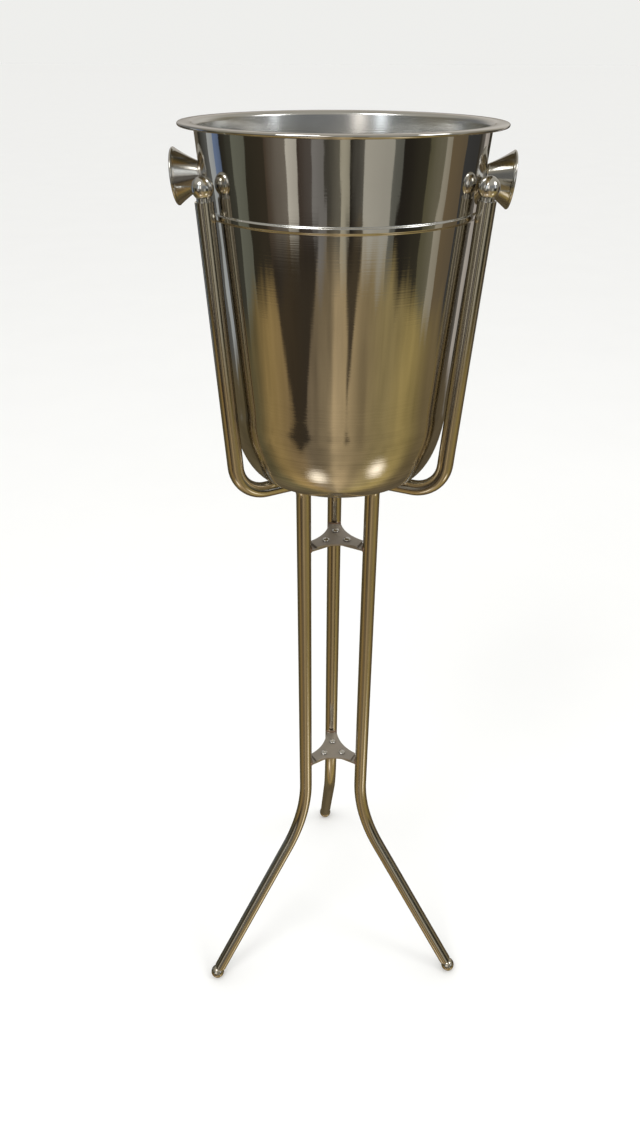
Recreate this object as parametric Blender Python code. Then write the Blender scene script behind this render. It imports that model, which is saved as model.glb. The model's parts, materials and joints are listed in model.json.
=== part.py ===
"""Stainless ice bucket standing in its folding three-legged tube stand.

Units are metres and +Z is up. The origin is on the floor, at the centre of the object's bounding box.
The stand's own axis is a little in front of it, at y = AXIS_Y, because one foot points straight back.
Each leg is drawn once, in its own radial plane, and hangs from an empty on its rivets' axis.
"""

import math

import bmesh
import bpy
from mathutils import Matrix, Vector

GAP = 0.0003                    # clearance between pieces that touch

# bucket, measured from the floor with the bucket in its cradle
RIM_HEIGHT = 0.8200
RIM_RADIUS = 0.1066
FLANGE_THICKNESS = 0.0016
FLANGE_BEND = 0.0024            # radius between the wall and the flange
SHEET = 0.0010
WALL_TOP_RADIUS = 0.0965        # outside, level with the flange
WALL_FOOT_RADIUS = 0.0823       # outside, where the wall turns in
KNUCKLE_HEIGHT = 0.0585
BASE_RADIUS = 0.0580            # flat part of the bottom
BEAD_DROP = 0.0514              # rim to the middle of the bead
BEAD_HEIGHT = 0.0048
BEAD_PROUD = 0.0009
BUCKET_TURN = math.radians(-5.0)
BUCKET_SEGMENTS = 48

# knobs, screwed on from inside the bucket
KNOB_DROP = 0.0327
KNOB_LENGTH = 0.0182
KNOB_NECK_RADIUS = 0.0080
KNOB_LIP_RADIUS = 0.0180
KNOB_LIP = 0.0018
KNOB_DISH = 0.0024
KNOB_BORE_DEPTH = 0.0110
SCREW_RADIUS = 0.0020
SCREW_LENGTH = 0.0105
SCREW_HEAD_RADIUS = 0.0045
SCREW_HEAD_HEIGHT = 0.0022

# leg tubes
TUBE_RADIUS = 0.0060
TUBE_WALL = 0.0010
TUBE_SIDES = 12
LEG_CIRCLE = 0.0317             # stand axis to the straight part of a leg
CRADLE_HEIGHT = 0.5715          # centre line of the stretch under the bucket, at the edge of its flat bottom
CRADLE_DIP = 0.0011             # how much lower it is at the inner bend
CRADLE_RISE = 0.0012            # how much higher it is at the outer bend
CRADLE_INNER_BEND = 0.0140
CRADLE_OUTER_BEND = 0.0260
ARM_FOOT_CIRCLE = 0.0886        # stand axis to the arm, level with the cradle
ARM_LEAN = 0.0620               # outward run of the arm for each unit of height
BALL_HEIGHT = 0.7865
BALL_RADIUS = 0.0070
BALL_NECK = 0.0075              # ball centre to the tube's end
KNEE_HEIGHT = 0.1886            # where the straight leg and the splayed foot would meet
KNEE_BEND = 0.1500
FOOT_CIRCLE = 0.1456
FOOT_RADIUS = 0.0070
FOOT_CENTRE_HEIGHT = 0.0064
PLUG_LENGTH = 0.0120            # stem of a ball or a foot inside its tube

# hub plates, lugs and rivets
PLATE_TOPS = {"upper": 0.5095, "lower": 0.2635}
PLATE_THICKNESS = 0.0015
PLATE_ARM_LENGTH = 0.0225
PLATE_ARM_WIDTH = 0.0110
PLATE_WAIST = 0.0122            # stand axis to the middle of a concave side
LUG_THICKNESS = 0.0020
LUG_HALF_WIDTH = 0.0052
RIVET_CIRCLE = 0.0103
RIVET_RADIUS = 0.0020
RIVET_HEAD_RADIUS = 0.0032
RIVET_HEAD_HEIGHT = 0.0016
RIVET_TAIL_RADIUS = 0.0029
RIVET_TAIL_HEIGHT = 0.0012

LEG_AZIMUTHS = {"left": math.radians(210), "right": math.radians(330), "back": math.radians(90)}

# values that follow from the ones above
AXIS_Y = (RIM_RADIUS - FOOT_CIRCLE - FOOT_RADIUS) / 2
BASE_HEIGHT = CRADLE_HEIGHT + TUBE_RADIUS + GAP
KNUCKLE_TOP = BASE_HEIGHT + KNUCKLE_HEIGHT
WALL_SLOPE = (WALL_TOP_RADIUS - WALL_FOOT_RADIUS) / (RIM_HEIGHT - KNUCKLE_TOP)
SPLAY = math.atan2(FOOT_CIRCLE - LEG_CIRCLE, KNEE_HEIGHT - FOOT_CENTRE_HEIGHT)
LEG_OFFSET = LEG_CIRCLE - RIVET_CIRCLE
BORE_RADIUS = TUBE_RADIUS - TUBE_WALL


def clear_scene():
    for obj in list(bpy.data.objects):
        bpy.data.objects.remove(obj, do_unlink=True)


def make_material(name, color, roughness):
    material = bpy.data.materials.new(name)
    material.use_nodes = True
    shader = material.node_tree.nodes["Principled BSDF"]
    shader.inputs["Base Color"].default_value = (*color, 1.0)
    shader.inputs["Roughness"].default_value = roughness
    shader.inputs["Metallic"].default_value = 1.0
    material.diffuse_color = (*color, 1.0)
    return material


def make_empty(name, location, turn=0.0):
    empty = bpy.data.objects.new(name, None)
    empty.location = location
    empty.rotation_euler = (0.0, 0.0, turn)
    bpy.context.scene.collection.objects.link(empty)
    return empty


def finish_mesh(bm, name):
    """Turns a bmesh into a mesh with outward faces, smooth except at real edges."""
    bmesh.ops.recalc_face_normals(bm, faces=bm.faces)
    mesh = bpy.data.meshes.new(name)
    bm.to_mesh(mesh)
    bm.free()
    mesh.shade_smooth()
    mesh.set_sharp_from_angle(angle=math.radians(40))
    return mesh


def place(name, mesh, material, parent, location=(0.0, 0.0, 0.0), turn=(0.0, 0.0, 0.0)):
    obj = bpy.data.objects.new(name, mesh)
    if not mesh.materials:
        mesh.materials.append(material)
    obj.parent = parent
    obj.location = location
    obj.rotation_euler = turn
    bpy.context.scene.collection.objects.link(obj)
    return obj


def skin(bm, ring_a, ring_b):
    """Joins two rings of vertices with faces. A ring of one vertex is a pole."""
    count = max(len(ring_a), len(ring_b))
    for i in range(count):
        j = (i + 1) % count
        if len(ring_a) == 1:
            bm.faces.new((ring_a[0], ring_b[i], ring_b[j]))
        elif len(ring_b) == 1:
            bm.faces.new((ring_a[i], ring_b[0], ring_a[j]))
        else:
            bm.faces.new((ring_a[i], ring_b[i], ring_b[j], ring_a[j]))


def lathe(profile, segments):
    """Turns (radius, height) points, which start and end on the axis, about Z."""
    bm = bmesh.new()
    rings = []
    for radius, height in profile:
        if radius < 1e-7:
            rings.append([bm.verts.new((0.0, 0.0, height))])
            continue
        angles = [2 * math.pi * i / segments for i in range(segments)]
        rings.append([bm.verts.new((radius * math.cos(a), radius * math.sin(a), height)) for a in angles])
    for ring_a, ring_b in zip(rings, rings[1:]):
        skin(bm, ring_a, ring_b)
    return bm


def arc(centre_x, centre_y, radius_x, radius_y, start, end, steps):
    """Points of an ellipse's arc, from start to end in degrees, both ends included."""
    points = []
    for i in range(steps + 1):
        angle = math.radians(start + (end - start) * i / steps)
        points.append((centre_x + radius_x * math.cos(angle), centre_y + radius_y * math.sin(angle)))
    return points


def extrude_outline(outline, bottom, thickness):
    """A flat plate with the given outline, from bottom upwards."""
    bm = bmesh.new()
    low = [bm.verts.new((x, y, bottom)) for x, y in outline]
    high = [bm.verts.new((x, y, bottom + thickness)) for x, y in outline]
    bm.faces.new(reversed(low))
    bm.faces.new(high)
    skin(bm, low, high)
    return bm


def cut_with(obj, cutter):
    modifier = obj.modifiers.new("cut_" + cutter.name, "BOOLEAN")
    modifier.operation = "DIFFERENCE"
    modifier.solver = "EXACT"
    modifier.object = cutter


def make_cutter(name, radius, start, end, parent, location, turn=(0.0, 0.0, 0.0)):
    """A round cutter along its local Z. It is a tool and not a piece of the object."""
    profile = [(0.0, start), (radius, start), (radius, end), (0.0, end)]
    cutter = bpy.data.objects.new(name, finish_mesh(lathe(profile, TUBE_SIDES), name))
    cutter.parent = parent
    cutter.location = location
    cutter.rotation_euler = turn
    cutter.hide_render = True
    cutter.display_type = "WIRE"
    bpy.context.scene.collection.objects.link(cutter)
    return cutter


# ---- bucket ----

def wall_radius(height):
    """Outside radius of the bucket's straight wall at a height above the floor."""
    return WALL_TOP_RADIUS - WALL_SLOPE * (RIM_HEIGHT - height)


def bead_points():
    """The raised bead round the wall, top to bottom."""
    middle = RIM_HEIGHT - BEAD_DROP
    heights = [middle + BEAD_HEIGHT / 2, middle + BEAD_HEIGHT / 4, middle - BEAD_HEIGHT / 4, middle - BEAD_HEIGHT / 2]
    proud = [0.0, BEAD_PROUD, BEAD_PROUD, 0.0]
    return [(wall_radius(h) + p, h) for h, p in zip(heights, proud)]


def bucket_profile():
    underside = RIM_HEIGHT - FLANGE_THICKNESS
    bend_height = underside - FLANGE_BEND
    outside = [(RIM_RADIUS, RIM_HEIGHT), (RIM_RADIUS, underside)]
    outside += arc(wall_radius(bend_height) + FLANGE_BEND, bend_height, FLANGE_BEND, FLANGE_BEND, 90, 180, 2)
    outside += bead_points()
    outside += arc(BASE_RADIUS, KNUCKLE_TOP, WALL_FOOT_RADIUS - BASE_RADIUS, KNUCKLE_HEIGHT, 0, -90, 6)
    outside += [(0.0, BASE_HEIGHT)]
    inner_foot = WALL_FOOT_RADIUS - SHEET - BASE_RADIUS
    inside = [(0.0, BASE_HEIGHT + SHEET)]
    inside += arc(BASE_RADIUS, KNUCKLE_TOP, inner_foot, KNUCKLE_HEIGHT - SHEET, -90, 0, 6)
    inside += [(wall_radius(bend_height) - SHEET, bend_height), (wall_radius(RIM_HEIGHT) + SHEET / 2, RIM_HEIGHT)]
    return inside + outside


def knob_seat():
    """Where the knob's axis leaves the wall, and its downward tilt, square to the tapered wall."""
    height = RIM_HEIGHT - KNOB_DROP
    return wall_radius(height), height, math.atan(WALL_SLOPE)


def knob_profile():
    """A flared knob: neck against the wall at height 0, lip and dished face at the far end."""
    bore = SCREW_RADIUS + GAP
    flare_end = KNOB_LENGTH - KNOB_LIP
    points = [(0.0, KNOB_BORE_DEPTH), (bore, KNOB_BORE_DEPTH), (bore, 0.0), (KNOB_NECK_RADIUS, 0.0)]
    steps = 6
    for i in range(1, steps + 1):
        t = i / steps
        flare = 0.75 * t + 0.25 * t * t
        points.append((KNOB_NECK_RADIUS + (KNOB_LIP_RADIUS - KNOB_NECK_RADIUS) * flare, flare_end * t))
    points.append((KNOB_LIP_RADIUS, KNOB_LENGTH))
    points.append((KNOB_LIP_RADIUS - KNOB_LIP, KNOB_LENGTH))
    points.append((KNOB_LIP_RADIUS / 2, KNOB_LENGTH - KNOB_DISH * 0.8))
    points.append((0.0, KNOB_LENGTH - KNOB_DISH))
    return points


def screw_profile():
    """A screw along +Z with its head's underside at height 0."""
    points = [(0.0, SCREW_LENGTH), (SCREW_RADIUS, SCREW_LENGTH), (SCREW_RADIUS, 0.0), (SCREW_HEAD_RADIUS, 0.0)]
    points += arc(0.0, -0.0006, SCREW_HEAD_RADIUS, SCREW_HEAD_HEIGHT - 0.0006, 0, -90, 3)[:-1]
    points.append((0.0, -SCREW_HEAD_HEIGHT))
    return points


def build_bucket(materials):
    axis = make_empty("bucket_axis", (0.0, AXIS_Y, 0.0), BUCKET_TURN)
    shell_mesh = finish_mesh(lathe(bucket_profile(), BUCKET_SEGMENTS), "bucket_shell")
    shell = place("bucket_shell", shell_mesh, materials["bucket"], axis)
    knob_mesh = finish_mesh(lathe(knob_profile(), 24), "knob")
    screw_mesh = finish_mesh(lathe(screw_profile(), TUBE_SIDES), "knob_screw")
    radius, height, tilt = knob_seat()
    inset = SHEET + 0.0005
    for side, sign in (("right", 1.0), ("left", -1.0)):
        turn = (0.0, sign * (math.pi / 2 + tilt), 0.0)
        outward = Vector((sign * math.cos(tilt), 0.0, -math.sin(tilt)))
        seat = Vector((sign * radius, 0.0, height))
        place("knob_" + side, knob_mesh, materials["knob"], axis, seat + outward * GAP, turn)
        place("knob_screw_" + side, screw_mesh, materials["fastener"], axis, seat - outward * inset, turn)
        hole = make_cutter("knob_hole_" + side, SCREW_RADIUS + GAP, -0.006, 0.006, axis, seat, turn)
        cut_with(shell, hole)


# ---- legs ----

def round_corner(before, corner, after, radius, steps):
    """Points of the arc that rounds a corner between two straight runs."""
    back = (before - corner).normalized()
    ahead = (after - corner).normalized()
    turn = math.pi - back.angle(ahead)
    centre = corner + (back + ahead).normalized() * (radius / math.cos(turn / 2))
    tangent = radius * math.tan(turn / 2)
    first = corner + back * tangent - centre
    last = corner + ahead * tangent - centre
    points = []
    for i in range(steps + 1):
        t = i / steps
        points.append(centre + (first * math.sin((1 - t) * turn) + last * math.sin(t * turn)) / math.sin(turn))
    return points


def arm_circle(height):
    """Distance from the stand's axis to an arm's centre line at a height."""
    return ARM_FOOT_CIRCLE + ARM_LEAN * (height - CRADLE_HEIGHT)


def leg_corners():
    """The leg's centre line as straight runs, foot to ball, in (distance from the stand's axis, height)."""
    ball = Vector((arm_circle(BALL_HEIGHT), BALL_HEIGHT))
    rise = CRADLE_HEIGHT + CRADLE_RISE
    cradle_outer = Vector((arm_circle(rise), rise))
    cradle_inner = Vector((LEG_CIRCLE, CRADLE_HEIGHT - CRADLE_DIP))
    knee = Vector((LEG_CIRCLE, KNEE_HEIGHT))
    foot = Vector((FOOT_CIRCLE, FOOT_CENTRE_HEIGHT))
    top = ball + (cradle_outer - ball).normalized() * BALL_NECK
    bottom = foot + (knee - foot).normalized() * (FOOT_RADIUS + 0.0004)
    return [bottom, knee, cradle_inner, cradle_outer, top]


def leg_path():
    corners = leg_corners()
    bends = [(KNEE_BEND, 6), (CRADLE_INNER_BEND, 5), (CRADLE_OUTER_BEND, 6)]
    path = [corners[0]]
    for i, (radius, steps) in enumerate(bends, start=1):
        path += round_corner(corners[i - 1], corners[i], corners[i + 1], radius, steps)
    path.append(corners[-1])
    return [Vector((p.x - RIVET_CIRCLE, p.y)) for p in path]


def tube_rings(bm, path, radius):
    rings = []
    for i, point in enumerate(path):
        before = path[max(i - 1, 0)]
        after = path[min(i + 1, len(path) - 1)]
        along = (after - before).normalized()
        side = Vector((along.y, -along.x))
        ring = []
        for k in range(TUBE_SIDES):
            angle = 2 * math.pi * k / TUBE_SIDES
            offset = side * (radius * math.cos(angle))
            ring.append(bm.verts.new((point.x + offset.x, radius * math.sin(angle), point.y + offset.y)))
        rings.append(ring)
    return rings


def tube_mesh():
    """One open-ended bent tube, with its bore."""
    bm = bmesh.new()
    path = leg_path()
    outer = tube_rings(bm, path, TUBE_RADIUS)
    inner = tube_rings(bm, path, BORE_RADIUS)
    for rings in (outer, inner):
        for ring_a, ring_b in zip(rings, rings[1:]):
            skin(bm, ring_a, ring_b)
    skin(bm, outer[0], inner[0])
    skin(bm, outer[-1], inner[-1])
    return finish_mesh(bm, "leg_tube")


def plug_ball(radius, neck):
    """A ball centred on the origin, with a stem down -Z that plugs a tube whose end is at -neck."""
    stem = BORE_RADIUS * math.cos(math.pi / TUBE_SIDES) - GAP
    seam = -math.degrees(math.acos(stem / radius))
    points = [(0.0, -neck - PLUG_LENGTH), (stem, -neck - PLUG_LENGTH)]
    points += arc(0.0, 0.0, radius, radius, seam, 90, 8)[:-1]
    points.append((0.0, radius))
    return lathe(points, 16)


def foot_mesh():
    """A foot: a plug ball tilted along the splayed tube, cut flat where it stands on the floor."""
    bm = plug_ball(FOOT_RADIUS, FOOT_RADIUS + 0.0004)
    bmesh.ops.rotate(bm, verts=bm.verts, cent=(0, 0, 0), matrix=Matrix.Rotation(math.pi - SPLAY, 3, "Y"))
    bmesh.ops.translate(bm, verts=bm.verts, vec=(FOOT_CIRCLE - RIVET_CIRCLE, 0.0, FOOT_CENTRE_HEIGHT))
    everything = bm.verts[:] + bm.edges[:] + bm.faces[:]
    cut = bmesh.ops.bisect_plane(bm, geom=everything, plane_co=(0, 0, 0), plane_no=(0, 0, -1), clear_outer=True)
    rim = [edge for edge in cut["geom_cut"] if isinstance(edge, bmesh.types.BMEdge)]
    bmesh.ops.edgeloop_fill(bm, edges=rim)
    return finish_mesh(bm, "foot")


def ball_mesh():
    return finish_mesh(plug_ball(BALL_RADIUS, BALL_NECK), "ball")


def lug_mesh():
    """A tongue from the tube, coped to its curve, with a round end about the rivet."""
    cope = TUBE_RADIUS + GAP
    reach = math.degrees(math.asin(LUG_HALF_WIDTH / cope))
    outline = arc(0.0, 0.0, LUG_HALF_WIDTH, LUG_HALF_WIDTH, 90, 270, 8)
    outline += arc(LEG_OFFSET, 0.0, cope, cope, 180 + reach, 180 - reach, 6)
    return finish_mesh(extrude_outline(outline, -LUG_THICKNESS, LUG_THICKNESS), "lug")


def build_legs(materials):
    tube = tube_mesh()
    ball = ball_mesh()
    foot = foot_mesh()
    lug = lug_mesh()
    lean = math.atan(ARM_LEAN)
    ball_place = (arm_circle(BALL_HEIGHT) - RIVET_CIRCLE, 0.0, BALL_HEIGHT)
    for leg, azimuth in LEG_AZIMUTHS.items():
        pivot = make_empty(f"leg_{leg}_pivot", hub_point(azimuth), azimuth)
        place(f"leg_tube_{leg}", tube, materials["tube"], pivot)
        place(f"ball_{leg}", ball, materials["knob"], pivot, ball_place, (0.0, lean, 0.0))
        place(f"foot_{leg}", foot, materials["knob"], pivot)
        hole = make_cutter(f"rivet_bore_{leg}", RIVET_RADIUS + GAP, 0.2, 0.6, pivot, (0.0, 0.0, 0.0))
        for level, plate_top in PLATE_TOPS.items():
            top = plate_top - PLATE_THICKNESS - GAP
            tongue = place(f"lug_{level}_{leg}", lug, materials["plate"], pivot, (0.0, 0.0, top))
            cut_with(tongue, hole)


# ---- hub ----

def hub_point(azimuth, height=0.0):
    """A point of the rivet circle."""
    return (RIVET_CIRCLE * math.cos(azimuth), AXIS_Y + RIVET_CIRCLE * math.sin(azimuth), height)


def plate_outline():
    """Three straight-ended arms joined by concave sides."""
    half = PLATE_ARM_WIDTH / 2
    corner = Vector((PLATE_ARM_LENGTH, half))
    across = math.radians(60) - math.atan2(half, PLATE_ARM_LENGTH)
    centre = (corner.length_squared - PLATE_WAIST ** 2) / (2 * (corner.length * math.cos(across) - PLATE_WAIST))
    radius = centre - PLATE_WAIST
    sweep = math.degrees(math.asin(corner.length * math.sin(across) / radius))
    outline = []
    for azimuth in LEG_AZIMUTHS.values():
        middle = math.degrees(azimuth) + 60
        x = centre * math.cos(math.radians(middle))
        y = centre * math.sin(math.radians(middle))
        outline += arc(x, y, radius, radius, middle + 180 + sweep, middle + 180 - sweep, 6)
    return outline


def rivet_profile():
    """Domed head, shank and closed tail, measured from the plate's top face."""
    tail = -(PLATE_THICKNESS + LUG_THICKNESS + 2 * GAP)
    points = arc(0.0, GAP, RIVET_HEAD_RADIUS, RIVET_HEAD_HEIGHT, 90, 0, 4)[1:]
    points = [(0.0, GAP + RIVET_HEAD_HEIGHT)] + points
    points += [(RIVET_RADIUS, GAP), (RIVET_RADIUS, tail)]
    points += arc(0.0, tail, RIVET_TAIL_RADIUS, RIVET_TAIL_HEIGHT, 0, -90, 3)[:-1]
    return points + [(0.0, tail - RIVET_TAIL_HEIGHT)]


def build_hub(materials):
    axis = make_empty("hub_axis", (0.0, AXIS_Y, 0.0))
    plate = finish_mesh(extrude_outline(plate_outline(), -PLATE_THICKNESS, PLATE_THICKNESS), "plate")
    rivet = finish_mesh(lathe(rivet_profile(), TUBE_SIDES), "rivet")
    holes = []
    for leg, azimuth in LEG_AZIMUTHS.items():
        spot = (RIVET_CIRCLE * math.cos(azimuth), RIVET_CIRCLE * math.sin(azimuth), 0.0)
        holes.append(make_cutter(f"plate_bore_{leg}", RIVET_RADIUS + GAP, 0.2, 0.6, axis, spot))
    for level, top in PLATE_TOPS.items():
        sheet = place(f"{level}_plate", plate, materials["plate"], axis, (0.0, 0.0, top))
        for hole in holes:
            cut_with(sheet, hole)
        for leg, azimuth in LEG_AZIMUTHS.items():
            spot = (RIVET_CIRCLE * math.cos(azimuth), RIVET_CIRCLE * math.sin(azimuth), top)
            place(f"rivet_{level}_{leg}", rivet, materials["fastener"], axis, spot)


def main():
    clear_scene()
    materials = {
        "bucket": make_material("bucket_steel", (0.62, 0.60, 0.56), 0.12),
        "tube": make_material("tube_steel", (0.55, 0.52, 0.44), 0.18),
        "knob": make_material("turned_steel", (0.66, 0.65, 0.62), 0.15),
        "plate": make_material("plate_steel", (0.50, 0.48, 0.45), 0.38),
        "fastener": make_material("fastener_steel", (0.68, 0.67, 0.65), 0.22),
    }
    build_hub(materials)
    build_legs(materials)
    build_bucket(materials)


main()
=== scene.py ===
"""Looks of the ice bucket in its folding tube stand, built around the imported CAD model.

Metres, +Z up, the row's own frame. Every visible piece is a finer copy of a CAD node, made here from
the same driving dimensions, and rides on that node's body.
"""

import json
import math

import bmesh
import bpy
from mathutils import Matrix, Vector


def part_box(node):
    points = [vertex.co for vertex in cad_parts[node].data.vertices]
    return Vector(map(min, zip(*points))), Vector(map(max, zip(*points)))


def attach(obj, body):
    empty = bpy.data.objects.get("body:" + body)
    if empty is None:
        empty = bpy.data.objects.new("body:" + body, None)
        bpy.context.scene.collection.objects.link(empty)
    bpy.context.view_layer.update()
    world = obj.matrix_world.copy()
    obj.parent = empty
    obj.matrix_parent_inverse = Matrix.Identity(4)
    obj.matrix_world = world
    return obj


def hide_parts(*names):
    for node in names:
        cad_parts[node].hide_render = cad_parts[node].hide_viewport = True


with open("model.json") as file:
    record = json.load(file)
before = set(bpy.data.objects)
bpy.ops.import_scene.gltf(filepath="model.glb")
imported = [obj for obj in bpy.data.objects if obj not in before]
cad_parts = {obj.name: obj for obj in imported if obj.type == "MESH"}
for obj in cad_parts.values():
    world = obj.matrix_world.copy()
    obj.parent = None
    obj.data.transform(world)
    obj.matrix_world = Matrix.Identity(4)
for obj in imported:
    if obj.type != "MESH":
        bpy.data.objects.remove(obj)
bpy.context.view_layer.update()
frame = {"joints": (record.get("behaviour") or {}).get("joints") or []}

# ---- places, from the frame ----
SHELL_LOW, SHELL_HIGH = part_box("bucket_shell")
AXIS = Vector(((SHELL_LOW.x + SHELL_HIGH.x) / 2, (SHELL_LOW.y + SHELL_HIGH.y) / 2, 0.0))
RIM_HEIGHT = SHELL_HIGH.z
BASE_HEIGHT = SHELL_LOW.z
RIM_RADIUS = (SHELL_HIGH.x - SHELL_LOW.x) / 2
PLATE_TOPS = {level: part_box(f"{level}_plate")[1].z for level in ("upper", "lower")}
HINGES = [joint for joint in frame["joints"] if joint["type"] == "hinge"]
RIVET_AXES = {joint["child"]: Vector((*joint["pos_m"][:2], 0.0)) for joint in HINGES}
LEGS = ("left", "right", "back")

# ---- driving dimensions, as in the CAD ----
GAP = 0.0003
SHEET = 0.0010
WALL_TOP_RADIUS = 0.0965
WALL_FOOT_RADIUS = 0.0823
KNUCKLE_HEIGHT = 0.0585
BASE_RADIUS = 0.0580
FLANGE_BEND = 0.0024
BEAD_DROP = 0.0514
BEAD_HALF_HEIGHT = 0.0024
BEAD_EDGE = 0.0012
BEAD_PROUD = 0.0009
BUCKET_TURN = math.radians(-5.0)
KNOB_DROP = 0.0327
KNOB_LENGTH = 0.0182
KNOB_NECK_RADIUS = 0.0080
KNOB_LIP_RADIUS = 0.0180
KNOB_LIP = 0.0018
KNOB_DISH = 0.0024
KNOB_BORE_DEPTH = 0.0110
SCREW_RADIUS = 0.0020
SCREW_LENGTH = 0.0105
SCREW_HEAD_RADIUS = 0.0045
SCREW_HEAD_HEIGHT = 0.0022
TUBE_RADIUS = 0.0060
TUBE_WALL = 0.0010
LEG_CIRCLE = 0.0317
CRADLE_HEIGHT = 0.5715
CRADLE_DIP = 0.0011
CRADLE_RISE = 0.0012
CRADLE_INNER_BEND = 0.0140
CRADLE_OUTER_BEND = 0.0260
ARM_FOOT_CIRCLE = 0.0886
ARM_LEAN = 0.0620
BALL_HEIGHT = 0.7865
BALL_RADIUS = 0.0070
BALL_NECK = 0.0075
KNEE_HEIGHT = 0.1886
KNEE_BEND = 0.1500
FOOT_CIRCLE = 0.1456
FOOT_RADIUS = 0.00685  # a hair under the CAD's 0.0070, so that the finer balls stay inside its box
FOOT_CENTRE_HEIGHT = 0.0064
PLUG_LENGTH = 0.0120
PLATE_THICKNESS = 0.0015
PLATE_ARM_LENGTH = 0.0225
PLATE_ARM_WIDTH = 0.0110
PLATE_WAIST = 0.0122
LUG_THICKNESS = 0.0020
LUG_HALF_WIDTH = 0.0052
RIVET_CIRCLE = 0.0103
RIVET_RADIUS = 0.0020
RIVET_HEAD_RADIUS = 0.0032
RIVET_HEAD_HEIGHT = 0.0016
RIVET_TAIL_RADIUS = 0.0029
RIVET_TAIL_HEIGHT = 0.0012

KNUCKLE_TOP = BASE_HEIGHT + KNUCKLE_HEIGHT
WALL_SLOPE = (WALL_TOP_RADIUS - WALL_FOOT_RADIUS) / (RIM_HEIGHT - KNUCKLE_TOP)
SPLAY = math.atan2(FOOT_CIRCLE - LEG_CIRCLE, KNEE_HEIGHT - FOOT_CENTRE_HEIGHT)
LEG_OFFSET = LEG_CIRCLE - RIVET_CIRCLE
BORE_RADIUS = TUBE_RADIUS - TUBE_WALL
FOOT_NECK = FOOT_RADIUS + 0.0004

# ---- fine detail, beyond what the CAD has ----
BUCKET_SEGMENTS = 192
TUBE_SIDES = 40
EDGE_BEVEL = 0.00025
HEM_RADIUS = 0.0011
HEM_TUCK = 0.0008
HEM_END = 0.0013
FLANGE_SKIN = 0.0004
BEAD_WINDOW = 0.0030
KNOB_COLLAR = 0.0004
KNOB_EDGE = 0.0005
SCREW_TIP = 0.0008
SCREW_HEAD_EDGE = 0.0006
SCREW_STANDOFF = 0.0005
RECESS_LENGTH = 0.0048
RECESS_WIDTH = 0.0010
RECESS_DEPTH = 0.0012
PLUG_CHAMFER = 0.0004
BEND_FLATTENING = 0.05
BEND_BULGE = 0.03
WELD_RADIUS = 0.0008
WELD_STANDOFF = 0.0001
WELD_STEPS = 40
WELD_SIDES = 10
RIVET_HEAD_EDGE = 0.0003
RIVET_CHAMFER = 0.0002

# ---- heat tint round the welds ----
HEAT_REACH = 0.0062
HEAT_PEAK = 1.1
HEAT_RING_STEP = 0.0022
HEAT_RINGS_EACH_WAY = 8
PLATE_HEAT = 0.55
PLATE_HEAT_START = 0.0165
PLATE_HEAT_FADE = 0.0080

# ---- camera, measured from the stand's axis ----
CAMERA_FROM_AXIS = Vector((-0.0359, -0.6042, 0.8592))
CAMERA_PITCH = math.radians(-32.26)
CAMERA_YAW = math.radians(-2.12)
CAMERA_ROLL = math.radians(0.24)
CAMERA_LENS = 26.1


# ======== shapes ========

def arc(centre_x, centre_y, radius_x, radius_y, start, end, steps):
    """Points of an ellipse's arc, from start to end in degrees, both ends included."""
    points = []
    for i in range(steps + 1):
        angle = math.radians(start + (end - start) * i / steps)
        points.append((centre_x + radius_x * math.cos(angle), centre_y + radius_y * math.sin(angle)))
    return points


def evenly(start, end, count):
    """Numbers from start to end in count equal steps, both ends included."""
    return [start + (end - start) * i / count for i in range(count + 1)]


def smooth_step(t):
    t = min(max(t, 0.0), 1.0)
    return t * t * (3 - 2 * t)


def skin(bm, ring_a, ring_b):
    """Joins two rings of vertices with faces. A ring of one vertex is a pole."""
    count = max(len(ring_a), len(ring_b))
    for i in range(count):
        j = (i + 1) % count
        if len(ring_a) == 1:
            bm.faces.new((ring_a[0], ring_b[i], ring_b[j]))
        elif len(ring_b) == 1:
            bm.faces.new((ring_a[i], ring_b[0], ring_a[j]))
        else:
            bm.faces.new((ring_a[i], ring_b[i], ring_b[j], ring_a[j]))


def to_mesh(bm, name, sharp=40):
    """A smooth-shaded mesh, with the edges over the angle sharp, in degrees, kept sharp."""
    bmesh.ops.recalc_face_normals(bm, faces=bm.faces)
    mesh = bpy.data.meshes.new(name)
    bm.to_mesh(mesh)
    bm.free()
    mesh.shade_smooth()
    mesh.set_sharp_from_angle(angle=math.radians(sharp))
    return mesh


def lathe(profile, segments):
    """Turns (radius, height) points, which start and end on the axis, about Z. The vertex layer "run"
    is the length along the profile, which the materials use for turning lines."""
    bm = bmesh.new()
    layer = bm.verts.layers.float.new("run")
    run = 0.0
    previous = profile[0]
    rings = []
    for radius, height in profile:
        run += math.hypot(radius - previous[0], height - previous[1])
        previous = (radius, height)
        count = 1 if radius < 1e-7 else segments
        ring = []
        for i in range(count):
            angle = 2 * math.pi * i / segments
            ring.append(bm.verts.new((radius * math.cos(angle), radius * math.sin(angle), height)))
            ring[-1][layer] = run
        rings.append(ring)
    for ring_a, ring_b in zip(rings, rings[1:]):
        skin(bm, ring_a, ring_b)
    return bm


def rounded_slab(outline, bottom, thickness):
    """A flat plate with the given outline and small rounded edges."""
    bm = bmesh.new()
    low = [bm.verts.new((x, y, bottom)) for x, y in outline]
    high = [bm.verts.new((x, y, bottom + thickness)) for x, y in outline]
    caps = [bm.faces.new(reversed(low)), bm.faces.new(high)]
    skin(bm, low, high)
    edges = [edge for cap in caps for edge in cap.edges]
    bmesh.ops.bevel(bm, geom=edges, offset=EDGE_BEVEL, segments=3, profile=0.5, affect="EDGES")
    return bm


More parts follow.
